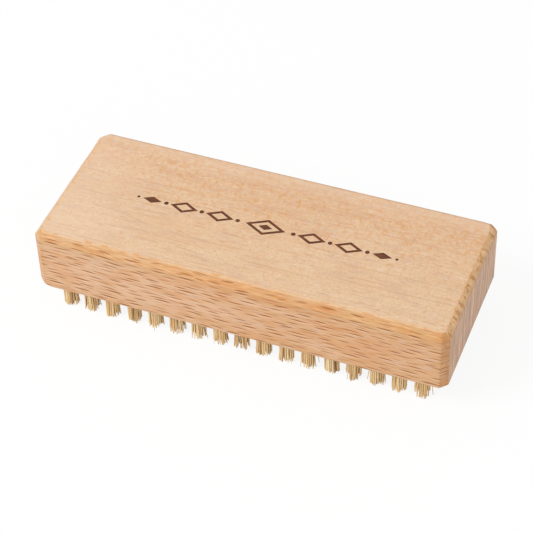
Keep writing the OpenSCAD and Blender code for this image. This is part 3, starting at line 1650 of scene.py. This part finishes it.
@dataclass
class TuftRow:
    """One row of tufts across the block: the folded bundles and their loose fibres."""

    sizes: BlockSizes
    anchors: AnchorSizes
    number: int
    habit: FibreHabit = FibreHabit()
    bundle_radius: float = 1.95
    bundle_foot: float = 8.5
    bundle_sides: int = 20
    bundle_tone: float = 0.4
    fold_top: float = 17.4
    sharp_angle: float = 75.0
    seed: int = 4100

    def bundle(self) -> bpy.types.Mesh:
        """Makes the part of a tuft that fills its hole and is folded over the anchor.

        Returns:
            The bundle's mesh, for a hole at the origin.
        """
        shells, slot = Shells(), Shells()
        # The height of each ring and its share of the radius.
        levels = (
            (self.bundle_foot, 0.97),
            (self.fold_top - 1.1, 1.0),
            (self.fold_top - 0.35, 0.86),
            (self.fold_top, 0.55),
        )
        shells.add_stack(
            [
                ring_at((0, 0, z), share * self.bundle_radius, self.bundle_sides)
                for z, share in levels
            ]
        )
        slot.add_stack(self.anchors.slot(0.0, 0.0))
        return cut_away(shells.mesh("bundle"), [slot.mesh("anchor_slot")])

    def build(self, bundle: bpy.types.Mesh) -> bpy.types.Object:
        """Builds the row.

        Args:
            bundle: the mesh of one folded bundle.

        Returns:
            The row as one object, in metres.
        """
        draw = random.Random(self.seed + self.number)
        shells = Shells()
        for j in range(self.sizes.tufts_across):
            foot = Vector((*self.sizes.hole(self.number - 1, j), 0))
            shells.add_copy(bundle, foot, self.bundle_tone)
            self._add_tuft(shells, foot, draw)
        mesh = shells.mesh(f"fibres_row_{self.number:02d}")
        for face in mesh.polygons:
            face.use_smooth = True
        mesh.set_sharp_from_angle(angle=math.radians(self.sharp_angle))
        mesh.transform(Matrix.Scale(MM, 4))
        return linked_object(mesh.name, mesh)

    def dress(self, obj: bpy.types.Object, fibre: bpy.types.Material) -> None:
        """Gives the row its fibre and ties it to the frame.

        Args:
            obj: the row.
            fibre: the fibre's material.
        """
        obj.data.materials.append(fibre)
        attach(obj, "root")
        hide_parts(f"tuft_row_{self.number:02d}")

    def _locks(self, turn: float, draw: random.Random) -> list[Lock]:
        """Parts a tuft into locks.

        Args:
            turn: the turn of the tuft, in radians.
            draw: the row's random numbers.

        Returns:
            The tuft's locks.
        """
        habit = self.habit
        locks = []
        for k in range(habit.locks):
            angle = turn + math.tau * k / habit.locks
            angle += draw.gauss(0, habit.lock_turn_spread)
            outward = Vector((math.cos(angle), math.sin(angle), 0))
            locks.append(
                Lock(
                    outward * draw.uniform(*habit.lock_place) * self.bundle_radius,
                    random_step(draw, habit.lock_lean_spread),
                    draw.uniform(*habit.lock_end),
                    draw.gauss(0, habit.lock_tone_spread),
                )
            )
        return locks

    def _add_tuft(self, shells: Shells, foot: Vector, draw: random.Random) -> None:
        """Adds the loose fibres of one tuft, set as close as they pack.

        Args:
            shells: the shells that get them.
            foot: the middle of the tuft's hole.
            draw: the row's random numbers.
        """
        habit = self.habit
        turn = draw.uniform(0, math.tau)
        locks = self._locks(turn, draw)
        reach = self.bundle_radius - habit.radius[1]
        # The roots lie in a grid of triangles, shaken a little.
        steps = int(reach / habit.spacing) + 2
        for row in range(-steps, steps + 1):
            for column in range(-steps, steps + 1):
                across = column + 0.5 * (row % 2)
                root = Vector((across, row * math.sqrt(0.75), 0)) * habit.spacing
                root.rotate(Matrix.Rotation(turn, 3, "Z"))
                root += random_step(draw, habit.jitter)
                if root.length <= reach:
                    self._add_fibre(shells, foot, root, locks, draw)

    def _add_fibre(
        self,
        shells: Shells,
        foot: Vector,
        root: Vector,
        locks: list[Lock],
        draw: random.Random,
    ) -> None:
        """Adds one fibre of a tuft, bent a little and cut slantwise at its tip.

        Args:
            shells: the shells that get it.
            foot: the middle of the tuft's hole.
            root: the fibre's place in the tuft.
            locks: the tuft's locks.
            draw: the row's random numbers.
        """
        habit = self.habit
        rim = root.length / self.bundle_radius
        lock = min(locks, key=lambda one: (one.middle - root).length)
        out = root.normalized() if root.length > 1e-6 else Vector((1, 0, 0))
        radius = draw.uniform(*habit.radius)
        inside, growth = habit.stray_growth
        stray = draw.random() < habit.stray_share * (inside + growth * rim)
        spread = out * rim * rim * habit.lean + lock.lean
        spread += random_step(draw, habit.lean_spread)
        end = lock.end + draw.uniform(*habit.end) + habit.rim_rise * rim * rim
        if stray:
            spread += out * draw.uniform(*habit.stray_lean)
            end += draw.uniform(*habit.stray_end)
            radius *= habit.stray_girth
        end = max(0.0, end)
        bend = random_step(draw, habit.bend_spread) + out * habit.bend
        slant = draw.uniform(*habit.slant) * radius * 2
        turn = draw.uniform(0, math.tau)
        tone = draw.gauss(habit.tone, habit.tone_spread) + lock.tone
        if draw.random() < habit.brown_share:
            tone = draw.uniform(*habit.brown_tone)
        rings = []
        for share in habit.rings:
            z = end + (habit.root_z - end) * share
            free = 1 - share
            centre = foot + root + spread * free**habit.lean_curve
            centre += bend * 4 * share * free
            girth = radius * (1 - habit.taper * free)
            ring = []
            for px, py, _ in ring_at((0, 0, 0), girth, habit.sides, turn):
                lift = slant * (0.5 + 0.5 * px / girth) if share == 0.0 else 0.0
                ring.append((centre.x + px, centre.y + py * habit.flatness, z + lift))
            rings.append(ring)
        shells.add_stack(rings, min(1.0, max(0.0, tone)))


@dataclass
class AnchorRow:
    """One row of flat wire anchors: the CAD solids, which are hidden in the wood."""

    number: int

    def dress(
        self, nodes: dict[str, bpy.types.Object], wire: bpy.types.Material
    ) -> str:
        """Gives the row its wire.

        Args:
            nodes: the CAD nodes by name.
            wire: the wire's material.

        Returns:
            The node's name.
        """
        name = f"anchor_row_{self.number:02d}"
        node = nodes[name]
        if not node.material_slots:
            node.data.materials.append(wire)
        for slot in node.material_slots:
            slot.material = wire
        return name


# Camera and studio


@dataclass(frozen=True)
class PhotoCamera:
    """The photograph's camera, fitted to the block's corners."""

    azimuth: float = 22.271
    elevation: float = 44.245
    roll: float = -1.879
    aim: Point = (1.725, -4.310, 16.569)
    distance: float = 476.38
    focal: float = 126.920
    sensor: float = 36.0
    clip: tuple[float, float] = (0.01, 20.0)

    def build(self) -> None:
        """Makes the camera and hands it to the scene."""
        angles = (self.azimuth, self.elevation, self.roll)
        az, el, roll = (math.radians(angle) for angle in angles)
        back = Vector(
            (math.sin(az) * math.cos(el), -math.cos(az) * math.cos(el), math.sin(el))
        )
        level = (-back).cross(Vector((0, 0, 1))).normalized()
        upright = level.cross(-back)
        right = math.cos(roll) * level + math.sin(roll) * upright
        up = -math.sin(roll) * level + math.cos(roll) * upright
        data = bpy.data.cameras.new("photo_camera")
        data.sensor_fit = "HORIZONTAL"
        data.sensor_width = self.sensor
        data.lens = self.focal
        data.clip_start, data.clip_end = self.clip
        camera = linked_object("photo_camera", data)
        pose = Matrix((right, up, back)).transposed().to_4x4()
        pose.translation = (Vector(self.aim) + back * self.distance) * MM
        camera.matrix_world = pose
        bpy.context.scene.camera = camera


@dataclass(frozen=True)
class SoftBox:
    """A square soft light that looks at the brush, in metres."""

    name: str
    place: Point
    side: float
    watts: float

    def build(self, aim: Point) -> None:
        """Makes the light.

        Args:
            aim: the point in metres that it is turned to.
        """
        data = bpy.data.lights.new(self.name, "AREA")
        data.shape = "SQUARE"
        data.size = self.side
        data.energy = self.watts
        light = linked_object(self.name, data)
        light.location = self.place
        way = Vector(aim) - Vector(self.place)
        light.rotation_euler = way.to_track_quat("-Z", "Y").to_euler()


@dataclass(frozen=True)
class Studio:
    """White paper under plain soft light from the upper left, in metres."""

    floor_side: float = 8.0
    floor_cells: int = 8
    sky: float = 0.52
    aim: Point = (0, 0, 0.015)
    boxes: tuple[SoftBox, ...] = (
        SoftBox("key_light", (-0.78, -0.72, 1.05), 0.7, 13.5),
        SoftBox("fill_light", (1.0, -1.15, 0.6), 0.9, 4.0),
    )

    def build(self) -> None:
        """Makes the lights, the world and the floor."""
        for box in self.boxes:
            box.build(self.aim)
        self._light_world()
        bm = bmesh.new()
        cells = self.floor_cells
        bmesh.ops.create_grid(
            bm, x_segments=cells, y_segments=cells, size=self.floor_side / 2
        )
        mesh = bpy.data.meshes.new("studio_floor")
        bm.to_mesh(mesh)
        bm.free()
        floor = linked_object("studio_floor", mesh)
        floor.data.materials.append(StudioPaperFinish().material())

    def _light_world(self) -> None:
        """Makes the world a soft even sky that the camera sees as white."""
        world = bpy.data.worlds.new("studio_world")
        bpy.context.scene.world = world
        world.use_nodes = True
        tree = world.node_tree
        tree.nodes.clear()
        sky = add_node(tree, "Background", (grey(1.0), self.sky))
        white = add_node(tree, "Background", (grey(1.0), 1.0))
        surface = add_node(tree, "MixShader", (seen_directly(tree), sky, white))
        add_node(tree, "OutputWorld", {"Surface": surface})


def main() -> None:
    logging.basicConfig(level=logging.INFO, format="%(message)s")
    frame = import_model()
    PhotoCamera().build()
    Studio().build()
    bpy.context.scene.view_settings.view_transform = "Standard"

    sizes, anchors = BlockSizes(), AnchorSizes()
    block = BeechBlock(sizes, anchors, StampedBand())
    piece = block.build()
    block.dress(piece, BeechFinish(), ScorchedBeechFinish())
    LOG.info("%s: %d faces", piece.name, len(piece.data.polygons))

    fibre = PlantFibreFinish().material()
    wire = GalvanisedWireFinish().material()
    bundle = TuftRow(sizes, anchors, 1).bundle()
    for number in range(1, sizes.tufts_along + 1):
        row = TuftRow(sizes, anchors, number)
        piece = row.build(bundle)
        row.dress(piece, fibre)
        dressed = AnchorRow(number).dress(frame["nodes"], wire)
        LOG.info("%s: %d faces, over %s", piece.name, len(piece.data.polygons), dressed)
    bpy.data.meshes.remove(bundle)


if __name__ == "__main__":
    main()
